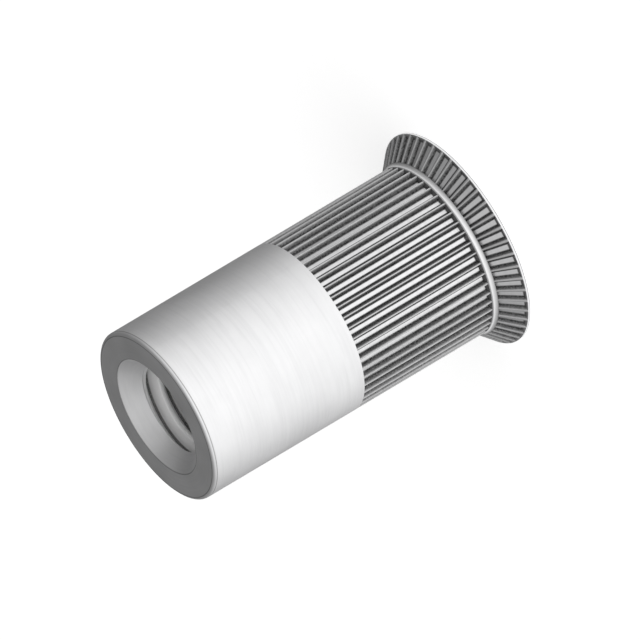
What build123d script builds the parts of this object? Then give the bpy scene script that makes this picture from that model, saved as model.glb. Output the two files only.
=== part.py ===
from build123d import *
from math import cos, radians, sin, tan
import os

# Countersunk rivet nut for an M6 screw, made in one piece.
# It stands on its flat head face: axis on Z, head face at z = 0, open end up.

# Driving dimensions, in millimetres and degrees
overall_length = 19.7
barrel_radius = 4.95
barrel_length = 9.8
end_round = 0.2

# Countersunk head
head_overhang = 1.22
rim_thickness = 0.15
cone_half_angle = 45.0
neck_fillet = 0.3

# Screw thread, bored to its minor diameter. A metric thread is cut five eighths of its full V deep.
thread_diameter = 6.0
thread_pitch = 1.0
thread_flank_angle = 30.0
thread_length = 8.2
mouth_chamfer = 0.94

# Thin skirt between the head and the thread, which folds into the bulge
skirt_wall = 0.8
shoulder_half_angle = 60.0
entry_chamfer = 0.25

# Ridges along the shank and under the head
ridge_count = 50
ridge_base_angle = 3.6
ridge_crest_angle = 0.62
knurl_depth = 0.26
knurl_end_ramp = 0.1
head_groove_depth = 0.28
plain_land = 0.06

# A cutter stands this share of its depth proud of the surface that it cuts
overrun = 0.1

# Sizes that follow from the ones above
head_radius = barrel_radius + head_overhang
cone_slope = 1 / tan(radians(cone_half_angle))
cone_foot_z = rim_thickness
cone_top_z = cone_foot_z + head_overhang * cone_slope
full_v_depth = thread_pitch / 2 / tan(radians(thread_flank_angle))
thread_depth = 5 / 8 * full_v_depth
bore_radius = thread_diameter / 2 - thread_depth
mouth_radius = bore_radius + mouth_chamfer
knurl_floor_radius = barrel_radius - knurl_depth
skirt_bore_radius = knurl_floor_radius - skirt_wall
thread_top_z = overall_length - mouth_chamfer
thread_foot_z = thread_top_z - thread_length
shoulder_rise = (skirt_bore_radius - bore_radius) / tan(radians(shoulder_half_angle))
skirt_top_z = thread_foot_z - shoulder_rise
knurl_top_z = overall_length - barrel_length
fillet_reach = neck_fillet * tan(radians(cone_half_angle) / 2)
knurl_foot_z = cone_top_z + fillet_reach + plain_land
head_groove_top_z = cone_top_z - (fillet_reach + plain_land) * cos(radians(cone_half_angle))
half_pitch = 180 / ridge_count
floor_half_angle = half_pitch - ridge_base_angle / 2
crest_half_angle = half_pitch - ridge_crest_angle / 2


def corner_at(sketch, radius, height):
    """Corner of the half section nearest to a radius and a height."""
    target = Vector(radius, 0, height)
    return min(sketch.vertices(), key=lambda corner: (Vector(corner) - target).length)


def half_section():
    """Right half of the turned blank, cut through the axis."""
    outside = [
        (head_radius, 0),
        (head_radius, cone_foot_z),
        (barrel_radius, cone_top_z),
        (barrel_radius, overall_length),
    ]
    inside = [
        (mouth_radius, overall_length),
        (bore_radius, thread_top_z),
        (bore_radius, thread_foot_z),
        (skirt_bore_radius, skirt_top_z),
        (skirt_bore_radius, entry_chamfer),
        (skirt_bore_radius + entry_chamfer, 0),
    ]
    outline = Plane.XZ * Polyline(*outside, *inside, close=True)
    blank = make_face(outline)
    blank = fillet(corner_at(blank, barrel_radius, cone_top_z), neck_fillet)
    return fillet(corner_at(blank, barrel_radius, overall_length), end_round)


def cone_radius(height):
    """Radius of the head's cone at a height."""
    return barrel_radius + (cone_top_z - height) / cone_slope


def rung(surface_radius, depth, height):
    """Four corners across a groove: two on its floor, two just outside the surface."""
    floor_radius = surface_radius - depth
    top_radius = surface_radius + overrun * depth
    top_half_angle = crest_half_angle + overrun * (crest_half_angle - floor_half_angle)
    return [
        (radius * cos(angle), radius * sin(angle), height)
        for radius, half_angle in ((floor_radius, floor_half_angle), (top_radius, top_half_angle))
        for angle in (radians(half_angle), -radians(half_angle))
    ]


def knurl_groove():
    """Straight groove along the shank, with a short ramp at its head end."""
    top = rung(barrel_radius, knurl_depth, knurl_top_z)
    foot = rung(barrel_radius, knurl_depth, knurl_foot_z)
    ramped = [(x, y, z + knurl_end_ramp) for x, y, z in foot[:2]] + foot[2:]
    return ConvexPolyhedron(top + ramped)


def head_groove():
    """Groove down the cone, from the neck to the rim, with flat flanks."""
    top = rung(cone_radius(head_groove_top_z), head_groove_depth, head_groove_top_z)
    drop = head_groove_top_z - cone_foot_z
    outward = drop / cone_slope * cos(radians(floor_half_angle))
    apart = drop / cone_slope * sin(radians(floor_half_angle))
    foot = [(x + outward, y + (apart if y > 0 else -apart), z - drop) for x, y, z in top]
    return ConvexPolyhedron(top + foot)


def rivet_nut():
    """The whole nut: a turned blank with grooves all round its shank and its cone."""
    blank = revolve(half_section(), Axis.Z)
    grooves = PolarLocations(0, ridge_count) * knurl_groove()
    grooves += PolarLocations(0, ridge_count) * head_groove()
    return blank - grooves


os.makedirs("parts", exist_ok=True)
nut = rivet_nut()
nut.label = "rivet_nut"
export_step(nut, "parts/rivet_nut.step")
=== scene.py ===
from math import atan2, cos, degrees, pi, radians, sin, tan

import bpy
import numpy as np
from mathutils import Matrix, Vector


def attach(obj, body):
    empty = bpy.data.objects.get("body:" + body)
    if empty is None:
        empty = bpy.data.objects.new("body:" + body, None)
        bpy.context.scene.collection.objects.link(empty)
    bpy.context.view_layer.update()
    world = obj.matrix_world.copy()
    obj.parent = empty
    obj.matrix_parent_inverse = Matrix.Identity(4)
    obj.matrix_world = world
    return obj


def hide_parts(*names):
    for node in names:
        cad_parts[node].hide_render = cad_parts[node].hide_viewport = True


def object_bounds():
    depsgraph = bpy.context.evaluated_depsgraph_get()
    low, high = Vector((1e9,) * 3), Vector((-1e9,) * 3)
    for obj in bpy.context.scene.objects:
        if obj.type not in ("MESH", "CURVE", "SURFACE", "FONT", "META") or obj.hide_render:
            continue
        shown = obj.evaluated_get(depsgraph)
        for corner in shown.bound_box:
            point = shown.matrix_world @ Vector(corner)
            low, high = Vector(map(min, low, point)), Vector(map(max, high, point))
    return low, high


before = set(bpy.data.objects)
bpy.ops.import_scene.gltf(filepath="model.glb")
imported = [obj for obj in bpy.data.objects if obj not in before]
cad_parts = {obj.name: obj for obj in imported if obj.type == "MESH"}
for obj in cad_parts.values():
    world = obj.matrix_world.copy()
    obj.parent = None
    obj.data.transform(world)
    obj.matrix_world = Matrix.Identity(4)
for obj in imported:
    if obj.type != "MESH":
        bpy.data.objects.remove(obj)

# The nut stands on its flat head face, with its axis on Z and its open end up.
# Sizes are in millimetres and degrees, and MM turns them into metres.
MM = 0.001

NODE = "rivet_nut"
cad_low, cad_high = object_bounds()
LENGTH = cad_high.z / MM

# Outside
BARREL_RADIUS = 4.95
BARREL_LENGTH = 9.8
END_ROUND = 0.2
HEAD_OVERHANG = 1.22
RIM_THICKNESS = 0.15
RIM_EDGE = 0.03
CONE_HALF_ANGLE = 45.0
NECK_FILLET = 0.3
PLAIN_LAND = 0.06

# Ridges along the skirt and ribs under the head
RIDGE_COUNT = 50
RIDGE_BASE_ANGLE = 3.6
RIDGE_CREST_ANGLE = 0.62
KNURL_DEPTH = 0.26
KNURL_END_RAMP = 0.1
HEAD_GROOVE_DEPTH = 0.28
CORNER_ROUND = 0.03
CREST_ROUND = 0.012

# Bore and screw thread; depths count down from the open end
MOUTH_CHAMFER = 0.94
THREAD_DIAMETER = 6.0
THREAD_PITCH = 1.0
THREAD_FLANK_ANGLE = 30.0
THREAD_CREST_ROUND = 0.03
THREAD_LENGTH = 8.2
THREAD_START_DEPTH = 1.13
THREAD_START_ANGLE = -174.8
THREAD_RUN_IN = 8.0
SHOULDER_HALF_ANGLE = 60.0
SKIRT_BORE_RADIUS = 3.89
ENTRY_CHAMFER = 0.25

# Fineness of the mesh
ARC_STEPS = 6
MOUTH_STEPS = 4
SAME_PLACE_DIGITS = 6
SMOOTH_BELOW_ANGLE = 40.0

# Widths over which painted shade fades: beside an edge, down a flank from its crest, and beside the
# thread's root
DARK_EDGE = 0.04
FLANK_FADE = 0.1
THREAD_DARK_EDGE = 0.06

# Painted shade and tool-mark lines on the metal at a point: 0 is bare and 1 is darkest, and -1 is
# burnished, painted paler than bare as a highlight
BARE = 0.0
# Painted shade across the ridges: darkest in the grooves' corners, lighter up the flanks to the crests
FLOOR_EDGE_SHADE = 0.85
FLANK_FOOT_SHADE = 1.0
FLANK_SHADE = 0.78
FLANK_TOP_SHADE = 0.4
CREST_SHADE = 0.3
# Painted shade in the thread's root
THREAD_ROOT_SHADE = 0.8
# The thread's crest is burnished and painted paler as a highlight
THREAD_CREST_HIGHLIGHT = -1.0
TOOL_MARK_SHADE = 0.65
RIM_EDGE_SHADE = 0.7
# Painted shade along the neck's edges and in its fillet beside the knurl
NECK_EDGE_SHADE = 0.7
NECK_SHADE = 0.55

# Sizes that follow from the ones above
HEAD_RADIUS = BARREL_RADIUS + HEAD_OVERHANG
CONE_SLOPE = 1 / tan(radians(CONE_HALF_ANGLE))
CONE_TOP = RIM_THICKNESS + HEAD_OVERHANG * CONE_SLOPE
FILLET_REACH = NECK_FILLET * tan(radians(CONE_HALF_ANGLE) / 2)
KNURL_FOOT = CONE_TOP + FILLET_REACH + PLAIN_LAND
KNURL_TOP = LENGTH - BARREL_LENGTH
HEAD_GROOVE_TOP = CONE_TOP - (FILLET_REACH + PLAIN_LAND) * cos(radians(CONE_HALF_ANGLE))
HALF_PITCH = 180 / RIDGE_COUNT
FLOOR_HALF_ANGLE = HALF_PITCH - RIDGE_BASE_ANGLE / 2
CREST_HALF_ANGLE = HALF_PITCH - RIDGE_CREST_ANGLE / 2
THREAD_V_HEIGHT = THREAD_PITCH / 2 / tan(radians(THREAD_FLANK_ANGLE))
THREAD_DEPTH = 5 / 8 * THREAD_V_HEIGHT
THREAD_ROOT_LAND = THREAD_PITCH / 8
THREAD_FLANK = THREAD_DEPTH * tan(radians(THREAD_FLANK_ANGLE))
THREAD_MAJOR_RADIUS = THREAD_DIAMETER / 2
THREAD_MINOR_RADIUS = THREAD_MAJOR_RADIUS - THREAD_DEPTH
THREAD_FOOT_DEPTH = MOUTH_CHAMFER + THREAD_LENGTH
MOUTH_RADIUS = THREAD_MINOR_RADIUS + MOUTH_CHAMFER
SHOULDER_SLOPE = tan(radians(SHOULDER_HALF_ANGLE))
SHOULDER_FOOT_DEPTH = THREAD_FOOT_DEPTH + (SKIRT_BORE_RADIUS - THREAD_MINOR_RADIUS) / SHOULDER_SLOPE

# Camera: parallel projection, with the end face's centre where the photo has it
PHOTO_PIXELS = 640
PIXELS_PER_MM = 19.27
CAMERA_AZIMUTH = -0.8
CAMERA_ELEVATION = 22.2
CAMERA_ROLL = -120.74
END_FACE_PIXEL = (156.6, 416.9)
CAMERA_DISTANCE = 150.0


class Skin:
    """A closed mesh gathered band by band. Points in the same place become one."""

    def __init__(self):
        self.numbers = {}
        self.shades = []
        self.faces = []

    def point(self, place, shade=BARE):
        """Number of the point at a place, which is made if it is new. Adding 0.0 turns -0.0 into 0.0."""
        key = tuple(round(float(value), SAME_PLACE_DIGITS) + 0.0 for value in place)
        if key not in self.numbers:
            self.numbers[key] = len(self.numbers)
            self.shades.append(shade)
        return self.numbers[key]

    def ring(self, places, shades=None):
        """Numbers of the points of one ring."""
        shades = shades or [BARE] * len(places)
        return [self.point(place, shade) for place, shade in zip(places, shades)]

    def face(self, *corners):
        """One face, unless its corners fall together. Corners in one place count once."""
        kept = [c for i, c in enumerate(corners) if c != corners[i - 1]]
        if len(kept) > 2 and len(set(kept)) == len(kept):
            self.faces.append(kept)

    def band(self, before, after):
        """Faces between two rings. They face outwards when the section runs on from one to the other."""
        for i in range(len(before)):
            self.face(before[i - 1], before[i], after[i], after[i - 1])

    def to_object(self, name):
        """The finished Blender object, in metres."""
        mesh = bpy.data.meshes.new(name)
        mesh.from_pydata([Vector(place) * MM for place in self.numbers], [], self.faces)
        mesh.attributes.new("shade", "FLOAT", "POINT").data.foreach_set("value", self.shades)
        mesh.shade_smooth()
        mesh.set_sharp_from_angle(angle=radians(SMOOTH_BELOW_ANGLE))
        piece = bpy.data.objects.new(name, mesh)
        piece.modifiers.new("flat_faces_stay_flat", "WEIGHTED_NORMAL").keep_sharp = True
        bpy.context.scene.collection.objects.link(piece)
        return piece


def on_circle(radius, angle, height):
    """Point at a radius, an angle in degrees and a height."""
    return np.array((radius * cos(radians(angle)), radius * sin(radians(angle)), height))


def angle_of(place):
    """Angle of a point about the axis, in degrees."""
    return degrees(atan2(place[1], place[0]))


def moved_towards(start, end, distance):
    """The point this far from start on the way to end."""
    return start + (end - start) / np.linalg.norm(end - start) * distance


def turned(place, angle):
    """The point turned about the axis by an angle in degrees."""
    c, s = cos(radians(angle)), sin(radians(angle))
    return np.array((place[0] * c - place[1] * s, place[0] * s + place[1] * c, place[2]))


# Painted shades of a groove's points, in the order that groove() gives them
SIDE_SHADES = [FLOOR_EDGE_SHADE, FLANK_FOOT_SHADE, FLANK_SHADE, FLANK_TOP_SHADE, CREST_SHADE]
GROOVE_SHADES = (SIDE_SHADES[::-1] + [BARE] * 3 + SIDE_SHADES) * RIDGE_COUNT
GROOVE_END_SHADES = (SIDE_SHADES[::-1] + [FLOOR_EDGE_SHADE] * 3 + SIDE_SHADES) * RIDGE_COUNT


def groove(surface_radius, depth, height, spread=0.0, ramp=0.0):
    """Points across a groove whose middle is on X, from one ridge to the next.

    The spread moves its sides outwards and apart, and the ramp lifts its floor.
    """
    shift = on_circle(spread, FLOOR_HALF_ANGLE, 0)
    corner = on_circle(surface_radius - spread - depth, FLOOR_HALF_ANGLE, height + ramp) + shift
    crest = on_circle(surface_radius - spread, CREST_HALF_ANGLE, height) + shift
    middle = corner * (1, 0, 1)
    half = [
        moved_towards(corner, middle, CORNER_ROUND + DARK_EDGE),
        moved_towards(corner, middle, CORNER_ROUND),
        moved_towards(corner, crest, CORNER_ROUND),
        moved_towards(crest, corner, FLANK_FADE),
        moved_towards(crest, corner, CREST_ROUND),
        on_circle(surface_radius, angle_of(crest) + degrees(CREST_ROUND / surface_radius), height),
    ]
    mirrored = [place * (1, -1, 1) for place in half]
    return mirrored[::-1] + [middle] + half


def all_round(section):
    """The points of one groove, repeated round the nut."""
    return [turned(place, 2 * HALF_PITCH * k) for k in range(RIDGE_COUNT) for place in section]


KNURL_SECTION = groove(BARREL_RADIUS, KNURL_DEPTH, 0)
COLUMN_ANGLES = [
    2 * HALF_PITCH * k + angle_of(place) for k in range(RIDGE_COUNT) for place in KNURL_SECTION
]


def circle(radius, height, section=KNURL_SECTION):
    """Points of a plain circle, one over each point of the grooves."""
    return all_round([on_circle(radius, angle_of(place), height) for place in section])


def all_alike(shade):
    """One shade for every point of a circle."""
    return [shade] * len(COLUMN_ANGLES)


def cone_radius(height):
    """Radius of the head's cone at a height."""
    return BARREL_RADIUS + (CONE_TOP - height) / CONE_SLOPE


def head_groove(height):
    """Points across a groove under the head, which spreads as the cone widens."""
    radius = cone_radius(height)
    return groove(radius, HEAD_GROOVE_DEPTH, height, radius - cone_radius(HEAD_GROOVE_TOP))


def head_rings():
    """Rings of the rim and the ribbed cone, as places and shades."""
    foot = head_groove(RIM_THICKNESS)
    top = head_groove(HEAD_GROOVE_TOP)
    return [
        (circle(HEAD_RADIUS - RIM_EDGE, 0, foot), None),
        (circle(HEAD_RADIUS, RIM_EDGE, foot), all_alike(RIM_EDGE_SHADE)),
        (circle(HEAD_RADIUS, RIM_EDGE + DARK_EDGE, foot), None),
        (circle(HEAD_RADIUS, RIM_THICKNESS, foot), None),
        (all_round(foot), GROOVE_END_SHADES),
        (all_round(head_groove(RIM_THICKNESS + DARK_EDGE)), GROOVE_SHADES),
        (all_round(head_groove(HEAD_GROOVE_TOP - DARK_EDGE)), GROOVE_SHADES),
        (all_round(top), GROOVE_END_SHADES),
        # Painted shade along the neck's edge beside the ribs
        (circle(cone_radius(HEAD_GROOVE_TOP), HEAD_GROOVE_TOP, top), all_alike(NECK_EDGE_SHADE)),
    ]


def neck_rings():
    """Rings of the fillet between the cone and the shank, with painted shade on the last ring beside the
    knurl.
    """
    centre_radius = BARREL_RADIUS + NECK_FILLET
    rings = []
    for step in range(ARC_STEPS + 1):
        angle = radians(CONE_HALF_ANGLE) * (1 - step / ARC_STEPS)
        height = CONE_TOP + FILLET_REACH - NECK_FILLET * sin(angle)
        shades = all_alike(NECK_SHADE if step == ARC_STEPS else BARE)
        rings.append((circle(centre_radius - NECK_FILLET * cos(angle), height), shades))
    return rings


def knurl(height, ramp=0.0):
    """Points of the knurled skirt at a height."""
    return all_round(groove(BARREL_RADIUS, KNURL_DEPTH, height, ramp=ramp))


def skirt_rings():
    """Rings of the knurled skirt, with a ramp at the foot of its grooves."""
    return [
        # Painted shade along the neck's edge beside the knurl
        (circle(BARREL_RADIUS, KNURL_FOOT), all_alike(NECK_EDGE_SHADE)),
        (knurl(KNURL_FOOT, KNURL_END_RAMP), GROOVE_END_SHADES),
        (knurl(KNURL_FOOT + KNURL_END_RAMP + DARK_EDGE), GROOVE_SHADES),
        (knurl(KNURL_TOP - DARK_EDGE), GROOVE_SHADES),
        (knurl(KNURL_TOP), GROOVE_END_SHADES),
    ]


def barrel_rings():
    """Rings of the plain barrel, its rounded end and the end face, up to the mouth."""
    rounded = []
    for step in range(ARC_STEPS + 1):
        angle = radians(90) * step / ARC_STEPS
        radius = BARREL_RADIUS - END_ROUND * (1 - cos(angle))
        shades = all_alike(TOOL_MARK_SHADE if step in (0, ARC_STEPS) else BARE)
        rounded.append((circle(radius, LENGTH - END_ROUND * (1 - sin(angle))), shades))
    return [
        (circle(BARREL_RADIUS, KNURL_TOP), None),
        (circle(BARREL_RADIUS, KNURL_TOP + DARK_EDGE), None),
        (circle(BARREL_RADIUS, LENGTH - END_ROUND - DARK_EDGE), None),
        *rounded,
        (circle(BARREL_RADIUS - END_ROUND - DARK_EDGE, LENGTH), None),
        (circle(MOUTH_RADIUS + DARK_EDGE, LENGTH), None),
        (circle(MOUTH_RADIUS, LENGTH), all_alike(TOOL_MARK_SHADE)),
    ]


def run_in(turns):
    """How deep the thread is cut after some turns, from 0 to 1."""
    share = min(max(turns * 360 / THREAD_RUN_IN, 0), 1)
    return share * share * (3 - 2 * share)


def thread_line(turn):
    """Depths, radii and painted shades down the threaded bore, where the thread has made part of a turn."""
    half_root = THREAD_ROOT_LAND / 2
    crest = half_root + THREAD_FLANK
    below_crest = THREAD_CREST_ROUND / THREAD_DEPTH
    above_root = THREAD_DARK_EDGE / THREAD_DEPTH
    lower_half = [
        # Painted shade in the root
        (half_root, THREAD_DEPTH, THREAD_ROOT_SHADE),
        (half_root + above_root * THREAD_FLANK, (1 - above_root) * THREAD_DEPTH, BARE),
        (crest - below_crest * THREAD_FLANK, below_crest * THREAD_DEPTH, BARE),
        # Burnished crest, painted paler as a highlight
        (crest + THREAD_CREST_ROUND, 0, THREAD_CREST_HIGHLIGHT),
    ]
    groove_line = [(-offset, cut, shade) for offset, cut, shade in lower_half[::-1]] + lower_half
    last_turn = int(SHOULDER_FOOT_DEPTH / THREAD_PITCH)
    line = []
    for k in range(-1, last_turn):
        middle = THREAD_START_DEPTH + THREAD_PITCH * (k + turn)
        share = run_in(k + turn)
        for offset, cut, shade in groove_line:
            line.append((middle + offset, THREAD_MINOR_RADIUS + cut * share, shade * share))
    return line


def crossing(outer, inner, wall):
    """Depth, radius and shade where a line from one point to another meets a wall."""
    gap_before = outer[1] - wall(outer[0])
    gap_after = inner[1] - wall(inner[0])
    share = gap_before / (gap_before - gap_after)
    depth, radius = (a + (b - a) * share for a, b in zip(outer[:2], inner[:2]))
    return depth, radius, BARE


def mouth_wall(depth):
    """Radius of the mouth's countersink at a depth. Its sides lean at 45 degrees."""
    return MOUTH_RADIUS - depth


def shoulder_wall(depth):
    """Radius of the shoulder under the thread at a depth."""
    return THREAD_MINOR_RADIUS + (depth - THREAD_FOOT_DEPTH) * SHOULDER_SLOPE


def bore_line(turn):
    """Depths, radii and shades down the whole bore, with the thread cut off at both ends."""
    line = thread_line(turn)
    first = next(i for i, p in enumerate(line) if p[1] >= mouth_wall(p[0]))
    last = max(i for i, p in enumerate(line) if p[1] >= shoulder_wall(p[0]))
    top = crossing(line[first - 1], line[first], mouth_wall)
    foot = crossing(line[last], line[last + 1], shoulder_wall)
    cut = [top] * first + line[first:last + 1] + [foot] * (len(line) - last - 1)
    cut = [(depth, max(radius, shoulder_wall(depth)), shade) for depth, radius, shade in cut]
    depths = [0, DARK_EDGE] + [top[0] * step / MOUTH_STEPS for step in range(1, MOUTH_STEPS)]
    mouth = [(depth, mouth_wall(depth), BARE) for depth in depths]
    skirt = [
        (SHOULDER_FOOT_DEPTH, SKIRT_BORE_RADIUS, BARE),
        (LENGTH - ENTRY_CHAMFER, SKIRT_BORE_RADIUS, BARE),
        (LENGTH, SKIRT_BORE_RADIUS + ENTRY_CHAMFER, BARE),
    ]
    return mouth + cut + skirt


def add_bore(skin):
    """Walls of the bore, column by column round the nut, along the thread's helix."""
    count = len(COLUMN_ANGLES)
    start = min(range(count), key=lambda i: abs(COLUMN_ANGLES[i] - THREAD_START_ANGLE % 360))
    columns = []
    for step in range(count + 1):
        angle = COLUMN_ANGLES[start - step]
        turn = 1 if step == count else (COLUMN_ANGLES[start] - angle) % 360 / 360
        columns.append([
            skin.point(on_circle(radius, angle, LENGTH - depth), shade)
            for depth, radius, shade in bore_line(turn)
        ])
    for one, other in zip(columns, columns[1:]):
        for row in range(len(one) - 1):
            skin.face(other[row], one[row], one[row + 1], other[row + 1])


def make_nut():
    """The whole nut as one closed skin."""
    skin = Skin()
    outside = head_rings() + neck_rings() + skirt_rings() + barrel_rings()
    rings = [skin.ring(*ring) for ring in outside]
    for before, after in zip(rings, rings[1:]):
        skin.band(before, after)
    add_bore(skin)
    skin.band(skin.ring(circle(SKIRT_BORE_RADIUS + ENTRY_CHAMFER, 0)), rings[0])
    return skin.to_object("nut_body")


class Nodes:
    """Short ways to build a node tree."""

    # The Mix node has sockets for each kind of value, and these are the ones for colours
    MIX_ONE = 6
    MIX_OTHER = 7
    MIX_RESULT = 2

    def __init__(self, owner):
        owner.use_nodes = True
        self.tree = owner.node_tree
        self.tree.nodes.clear()

    def add(self, kind, inputs=None, **settings):
        """A node with its settings and its inputs, each a value or another node's socket."""
        node = self.tree.nodes.new(kind)
        for name, value in settings.items():
            setattr(node, name, value)
        for key, value in (inputs or {}).items():
            if isinstance(value, bpy.types.NodeSocket):
                self.tree.links.new(value, node.inputs[key])
            else:
                node.inputs[key].default_value = value
        return node

    def math(self, operation, *values):
        """Socket with the result of a sum, product or other operation."""
        node = self.add("ShaderNodeMath", dict(enumerate(values)), operation=operation)
        return node.outputs[0]

    def spread(self, value, low, high, new_low, new_high, **settings):
        """Socket with a value moved from one range to another."""
        inputs = {"Value": value, "From Min": low, "From Max": high, "To Min": new_low, "To Max": new_high}
        return self.add("ShaderNodeMapRange", inputs, **settings).outputs["Result"]

    def noise(self, vector, scale, detail=2.0, roughness=0.5, **more):
        """Socket with a noise pattern."""
        inputs = {"Vector": vector, "Scale": scale, "Detail": detail, "Roughness": roughness, **more}
        node = self.add("ShaderNodeTexNoise", inputs, noise_dimensions="4D" if more else "3D")
        return node.outputs["Fac"]

    def mix(self, factor, one, other):
        """Socket with a mix of two colours. A factor below 0 counts as 0."""
        inputs = {"Factor": factor, self.MIX_ONE: one, self.MIX_OTHER: other}
        return self.add("ShaderNodeMix", inputs, data_type="RGBA").outputs[self.MIX_RESULT]


def grey(value):
    """A neutral colour."""
    return (value, value, value, 1)


# Zinc plating: colours
BARE_COLOUR = (0.66, 0.66, 0.665, 1)
PALE_COLOUR = (0.71, 0.71, 0.715, 1)
MARK_COLOUR = (0.5, 0.5, 0.51, 1)
# Dark colour of the painted shade, also used for the tool-mark lines
PAINTED_SHADE_AND_MARK_COLOUR = grey(0.035)
# Paler zinc in the thread, which paints light into the shaded bore
THREAD_LIGHTENED_COLOUR = grey(0.72)
# Burnished crests, painted paler as a highlight
BURNISHED_HIGHLIGHT_COLOUR = grey(0.95)

# Zinc plating: noise patterns, with the part of each noise's range that is used
TURNING_MARKS_PER_MM = 4.5
GRAINS_PER_MM = 14.0
BLOTCHES_PER_MM = 0.35
NOISE_RANGE = (0.3, 0.7)
PALE_BLOTCH_RANGE = (0.35, 0.65)
MARK_RANGE = (0.45, 0.75)
MARKS_SEEN = 0.22
GRAIN_DARKENING = (0.86, 1.1)
TURNING_MARK_DEPTH = 0.004
GRAIN_DEPTH = 0.0012

# Zinc plating: shine
BARE_ROUGHNESS = (0.4, 0.5)
MARK_ROUGHNESS = (-0.05, 0.05)
GROOVE_ROUGHNESS = 0.62
THREAD_ROUGHNESS = 0.62
THREAD_METALLIC = 0.4

# How far outside the thread's grooves its paler colour, painted light in the shaded bore, and its own shine
# begin
THREAD_MARGIN = 0.03


def thread_mask(nodes, radius, height):
    """Socket with 1 in the bore past the mouth, out as far as the thread goes, and 0 elsewhere."""
    depth = nodes.math("SUBTRACT", LENGTH * MM, height)
    past_mouth = nodes.math(
        "GREATER_THAN", nodes.math("ADD", radius, depth), (MOUTH_RADIUS + THREAD_MARGIN) * MM
    )
    in_bore = nodes.math("LESS_THAN", radius, (THREAD_MAJOR_RADIUS + THREAD_MARGIN) * MM)
    return nodes.math("MULTIPLY", past_mouth, in_bore)


def zinc_steel():
    """Satin zinc plating on turned steel, with painted shade in the grooves and corners and painted light
    on the thread.
    """
    material = bpy.data.materials.new("zinc_steel_satin")
    nodes = Nodes(material)
    place = nodes.add("ShaderNodeTexCoord").outputs["Object"]
    axes = nodes.add("ShaderNodeSeparateXYZ", {"Vector": place}).outputs
    squares = [nodes.math("MULTIPLY", axes[name], axes[name]) for name in "XY"]
    radius = nodes.math("SQRT", nodes.math("ADD", *squares))
    across = nodes.math("DIVIDE", axes["X"], radius)
    along = nodes.math("DIVIDE", axes["Y"], radius)
    per_metre = TURNING_MARKS_PER_MM / MM
    turned = nodes.add("ShaderNodeCombineXYZ", {
        "X": nodes.math("MULTIPLY", radius, per_metre),
        "Y": nodes.math("MULTIPLY", axes["Z"], per_metre),
        "Z": across,
    }).outputs[0]
    marks = nodes.noise(turned, 1.0, detail=4.0, roughness=0.7, W=along)
    grain = nodes.noise(place, GRAINS_PER_MM / MM)
    blotches = nodes.noise(place, BLOTCHES_PER_MM / MM, detail=4.0, roughness=0.55)

    shade = nodes.add("ShaderNodeAttribute", attribute_name="shade").outputs["Fac"]
    uneven = nodes.spread(grain, *NOISE_RANGE, *GRAIN_DARKENING)
    # Painted shade, made uneven by the grain; the tool-mark lines come through it too
    painted_shade_and_marks = nodes.math("MINIMUM", nodes.math("MULTIPLY", shade, uneven), 1.0)
    bare = nodes.mix(nodes.spread(blotches, *PALE_BLOTCH_RANGE, 0, 1), BARE_COLOUR, PALE_COLOUR)
    bare = nodes.mix(nodes.spread(marks, *MARK_RANGE, 0, MARKS_SEEN), bare, MARK_COLOUR)
    in_thread = thread_mask(nodes, radius, axes["Z"])
    # Painted light: the thread is paler than the rest of the zinc
    bare = nodes.mix(in_thread, bare, THREAD_LIGHTENED_COLOUR)
    # Painted highlight on the burnished thread crests, where the shade is below 0
    bare = nodes.mix(nodes.math("MULTIPLY", shade, -1.0), bare, BURNISHED_HIGHLIGHT_COLOUR)
    # The painted shade darkens the colour
    colour = nodes.mix(painted_shade_and_marks, bare, PAINTED_SHADE_AND_MARK_COLOUR)

    rough = nodes.spread(blotches, *NOISE_RANGE, *BARE_ROUGHNESS)
    rough = nodes.math("ADD", rough, nodes.spread(marks, *NOISE_RANGE, *MARK_ROUGHNESS))
    rough = nodes.spread(painted_shade_and_marks, 0, 1, rough, GROOVE_ROUGHNESS)
    rough = nodes.spread(in_thread, 0, 1, rough, THREAD_ROUGHNESS)
    metallic = nodes.spread(in_thread, 0, 1, 1.0, THREAD_METALLIC)

    marks_bump = nodes.add("ShaderNodeBump", {
        "Strength": 1.0, "Distance": TURNING_MARK_DEPTH * MM, "Height": marks,
    })
    grain_bump = nodes.add("ShaderNodeBump", {
        "Strength": 1.0, "Distance": GRAIN_DEPTH * MM, "Height": grain,
        "Normal": marks_bump.outputs["Normal"],
    })
    shader = nodes.add("ShaderNodeBsdfPrincipled", {
        "Base Color": colour, "Metallic": metallic, "Roughness": rough,
        "Normal": grain_bump.outputs["Normal"],
    })
    nodes.add("ShaderNodeOutputMaterial", {"Surface": shader.outputs[0]})
    return material


def view_direction(azimuth, elevation):
    """Unit vector from the nut towards a viewer. Azimuth 0 is the -Y side, and 90 is +X."""
    a, e = radians(azimuth), radians(elevation)
    return Vector((sin(a) * cos(e), -cos(a) * cos(e), sin(e)))


# Stage. The studio is brightest low in front of the nut, and darkest behind and above it.
FLOOR_HALF_SIZE = 1500.0
FLOOR_GAP = 0.01
FLOOR_COLOUR = grey(0.8)
BACKGROUND_LIFT = 0.6
BRIGHT_SIDE = view_direction(-21.0, -30.0)
STUDIO_DARKEST = 0.19
STUDIO_BRIGHTEST = 1.5


def studio_light(nodes, direction):
    """Socket with the studio's brightness in a direction."""
    towards = nodes.add(
        "ShaderNodeVectorMath", {0: direction, 1: BRIGHT_SIDE}, operation="DOT_PRODUCT"
    ).outputs["Value"]
    return nodes.spread(
        towards, -1, 1, STUDIO_DARKEST, STUDIO_BRIGHTEST, interpolation_type="SMOOTHSTEP"
    )


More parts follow.
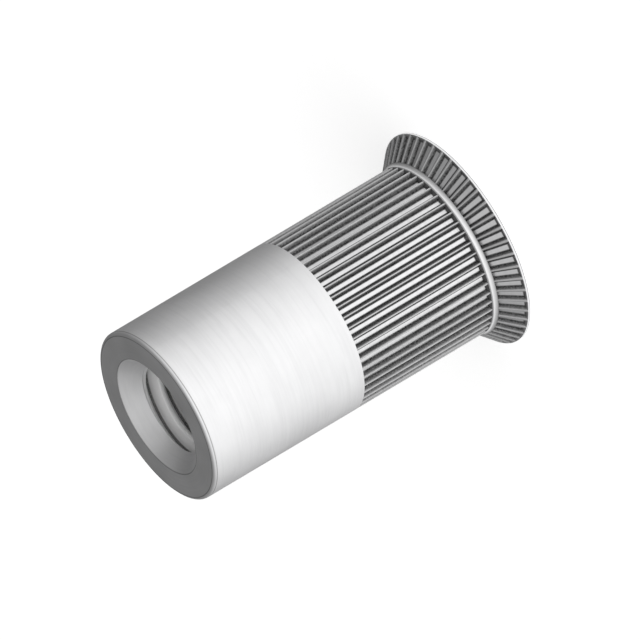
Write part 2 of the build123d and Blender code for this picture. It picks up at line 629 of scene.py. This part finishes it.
def floor_white():
    """Pale floor, in which the metal sees the studio. From below, the camera sees through it."""
    material = bpy.data.materials.new("floor_white")
    nodes = Nodes(material)
    path = nodes.add("ShaderNodeLightPath").outputs
    geometry = nodes.add("ShaderNodeNewGeometry").outputs
    middle = Vector((0, 0, LENGTH / 2)) * MM
    offset = nodes.add(
        "ShaderNodeVectorMath", {0: geometry["Position"], 1: middle}, operation="SUBTRACT"
    ).outputs[0]
    away = nodes.add("ShaderNodeVectorMath", {0: offset}, operation="NORMALIZE").outputs[0]
    in_metal = nodes.add("ShaderNodeEmission", {"Strength": studio_light(nodes, away)}).outputs[0]
    lift = nodes.math("MULTIPLY", path["Is Camera Ray"], BACKGROUND_LIFT)
    lift = nodes.add("ShaderNodeEmission", {"Strength": lift}).outputs[0]
    plain = nodes.add("ShaderNodeBsdfDiffuse", {"Color": FLOOR_COLOUR}).outputs[0]
    plain = nodes.add("ShaderNodeAddShader", {0: plain, 1: lift}).outputs[0]
    top = nodes.add("ShaderNodeMixShader", {0: path["Is Glossy Ray"], 1: plain, 2: in_metal}).outputs[0]
    from_below = nodes.math("MULTIPLY", path["Is Camera Ray"], geometry["Backfacing"])
    clear = nodes.add("ShaderNodeBsdfTransparent").outputs[0]
    mixed = nodes.add("ShaderNodeMixShader", {0: from_below, 1: top, 2: clear}).outputs[0]
    nodes.add("ShaderNodeOutputMaterial", {"Surface": mixed})
    return material


def make_floor():
    """A plain pale floor that fills the picture and keeps a soft shadow."""
    corners = [(-1, -1, 0), (1, -1, 0), (1, 1, 0), (-1, 1, 0)]
    mesh = bpy.data.meshes.new("floor")
    mesh.from_pydata([Vector(c) * FLOOR_HALF_SIZE * MM for c in corners], [], [(0, 1, 2, 3)])
    floor = bpy.data.objects.new("floor", mesh)
    floor.location.z = -FLOOR_GAP * MM
    bpy.context.scene.collection.objects.link(floor)
    mesh.materials.append(floor_white())


def make_world():
    """Soft light from all round, white where the camera sees it."""
    world = bpy.data.worlds.new("studio")
    bpy.context.scene.world = world
    nodes = Nodes(world)
    is_camera = nodes.add("ShaderNodeLightPath").outputs["Is Camera Ray"]
    direction = nodes.add("ShaderNodeTexCoord").outputs["Generated"]
    strength = nodes.spread(is_camera, 0, 1, studio_light(nodes, direction), 1.0)
    sky = nodes.add("ShaderNodeBackground", {"Color": grey(1.0), "Strength": strength})
    nodes.add("ShaderNodeOutputWorld", {"Surface": sky.outputs[0]})


# Soft box in front of the nut; its brightness is as seen
BOX_DIRECTION = view_direction(-20.0, 15.0)
BOX_DISTANCE = 120.0
BOX_WIDTH = 90.0
BOX_BRIGHTNESS = 0.2


def make_soft_box():
    """A square soft box that faces the middle of the nut."""
    lamp = bpy.data.lights.new("front_soft_box", "AREA")
    lamp.size = BOX_WIDTH * MM
    lamp.energy = BOX_BRIGHTNESS * pi * lamp.size ** 2
    target = Vector((0, 0, LENGTH / 2))
    box = bpy.data.objects.new("front_soft_box", lamp)
    box.location = (target + BOX_DIRECTION * BOX_DISTANCE) * MM
    box.rotation_euler = BOX_DIRECTION.to_track_quat("Z", "Y").to_euler()
    bpy.context.scene.collection.objects.link(box)


def make_camera():
    """A camera with parallel projection, turned as the photo is."""
    data = bpy.data.cameras.new("camera")
    data.type = "ORTHO"
    data.ortho_scale = PHOTO_PIXELS / PIXELS_PER_MM * MM
    turn = (
        Matrix.Rotation(radians(CAMERA_AZIMUTH), 4, "Z")
        @ Matrix.Rotation(radians(90 - CAMERA_ELEVATION), 4, "X")
        @ Matrix.Rotation(radians(CAMERA_ROLL), 4, "Z")
    )
    right, up, back = (turn.col[i].to_3d() for i in range(3))
    x = (END_FACE_PIXEL[0] - PHOTO_PIXELS / 2) / PIXELS_PER_MM
    y = (PHOTO_PIXELS / 2 - END_FACE_PIXEL[1]) / PIXELS_PER_MM
    place = Vector((0, 0, LENGTH)) - right * x - up * y + back * CAMERA_DISTANCE
    camera = bpy.data.objects.new("camera", data)
    camera.matrix_world = Matrix.Translation(place * MM) @ turn
    bpy.context.scene.collection.objects.link(camera)
    bpy.context.scene.camera = camera


make_camera()
make_floor()
make_world()
make_soft_box()

nut = make_nut()
nut.data.materials.append(zinc_steel())
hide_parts(NODE)
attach(nut, "root")

bpy.context.scene.view_settings.view_transform = "Standard"
